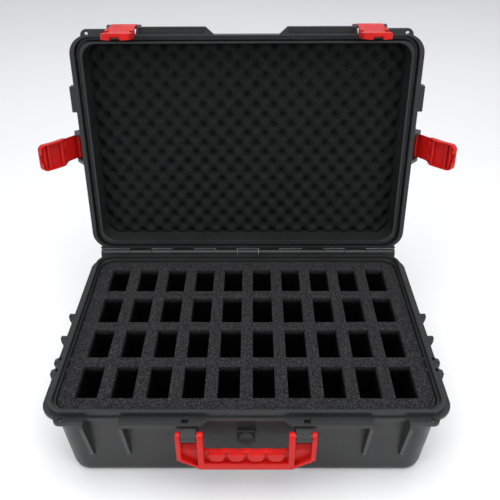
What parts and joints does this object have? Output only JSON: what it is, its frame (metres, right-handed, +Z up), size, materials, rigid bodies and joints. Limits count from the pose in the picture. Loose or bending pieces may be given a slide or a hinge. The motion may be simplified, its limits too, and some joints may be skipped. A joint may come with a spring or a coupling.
{
  "type": "miniature carry case",
  "caption": "Hard-shell hinged carry case for tabletop miniatures with a die-cut foam tray, egg-crate lid foam, four snap latches and a folding handle.",
  "frame": {"origin": "centre of the tub's underside, on the floor", "axes": "+X to the right along the hinge, +Y to the hinge at the back, +Z up; lid stored open, handle hanging"},
  "size_m": [0.6626, 0.5174, 0.5289],
  "materials": {
    "case_plastic": "satin textured polypropylene",
    "red_plastic": "satin gloss",
    "tray_foam": "fine-cell foam",
    "lid_foam": "egg-crate foam",
    "rubber": "matt",
    "pin_steel": "plain"
  },
  "bodies": {
    "base": {"base_shell": "case_plastic", "hinge_pin": "pin_steel", "foam_tray": "tray_foam", "foam_pad": "tray_foam", "foam_riser": "tray_foam", "handle_pin_left": "pin_steel", "handle_pin_right": "pin_steel", "strap_bar_left": "pin_steel", "strap_bar_right": "pin_steel", "vent_cap": "case_plastic", "vent_ring": "rubber"},
    "lid": {"lid_shell": "case_plastic", "lid_seal": "rubber", "lid_foam": "lid_foam", "latch_pin_front_left": "pin_steel", "latch_pin_front_right": "pin_steel", "latch_pin_side_left": "pin_steel", "latch_pin_side_right": "pin_steel"},
    "handle": {"handle": "red_plastic"},
    "lever_front_left": {"latch_lever_front_left": "red_plastic", "hook_pin_front_left": "pin_steel"},
    "hook_front_left": {"latch_hook_front_left": "red_plastic"},
    "lever_front_right": {"latch_lever_front_right": "red_plastic", "hook_pin_front_right": "pin_steel"},
    "hook_front_right": {"latch_hook_front_right": "red_plastic"},
    "lever_side_left": {"latch_lever_side_left": "red_plastic", "hook_pin_side_left": "pin_steel"},
    "hook_side_left": {"latch_hook_side_left": "red_plastic"},
    "lever_side_right": {"latch_lever_side_right": "red_plastic", "hook_pin_side_right": "pin_steel"},
    "hook_side_right": {"latch_hook_side_right": "red_plastic"}
  },
  "joints": [
    {"name": "lid_hinge", "type": "hinge", "parent": "base", "child": "lid", "pos_m": [0, 0.1945, 0.1393], "axis": [1, 0, 0], "range_deg": [0, 97.6]},
    {"name": "handle_pivot", "type": "hinge", "parent": "base", "child": "handle", "pos_m": [0, -0.204, 0.123], "axis": [-1, 0, 0], "range_deg": [0, 95]},
    {"name": "latch_front_left", "type": "hinge", "parent": "lid", "child": "lever_front_left", "pos_m": [-0.192, 0.26633, 0.52115], "axis": [1, 0, 0], "range_deg": [-110, 0]},
    {"name": "hook_front_left", "type": "hinge", "parent": "lever_front_left", "child": "hook_front_left", "pos_m": [-0.192, 0.22499, 0.52132], "axis": [-1, 0, 0], "range_deg": [0, 45]},
    {"name": "latch_front_right", "type": "hinge", "parent": "lid", "child": "lever_front_right", "pos_m": [0.192, 0.26633, 0.52115], "axis": [1, 0, 0], "range_deg": [-110, 0]},
    {"name": "hook_front_right", "type": "hinge", "parent": "lever_front_right", "child": "hook_front_right", "pos_m": [0.192, 0.22499, 0.52132], "axis": [-1, 0, 0], "range_deg": [0, 45]},
    {"name": "latch_side_left", "type": "hinge", "parent": "lid", "child": "lever_side_left", "pos_m": [-0.287, 0.24074, 0.32935], "axis": [0, 0.1323, 0.9912], "range_deg": [-60, 36]},
    {"name": "hook_side_left", "type": "hinge", "parent": "lever_side_left", "child": "hook_side_left", "pos_m": [-0.30681, 0.20478, 0.33415], "axis": [0, -0.1323, -0.9912], "range_deg": [0, 45]},
    {"name": "latch_side_right", "type": "hinge", "parent": "lid", "child": "lever_side_right", "pos_m": [0.287, 0.24074, 0.32935], "axis": [0, -0.1323, -0.9912], "range_deg": [-60, 36]},
    {"name": "hook_side_right", "type": "hinge", "parent": "lever_side_right", "child": "hook_side_right", "pos_m": [0.30681, 0.20478, 0.33415], "axis": [0, 0.1323, 0.9912], "range_deg": [0, 45]}
  ]
}
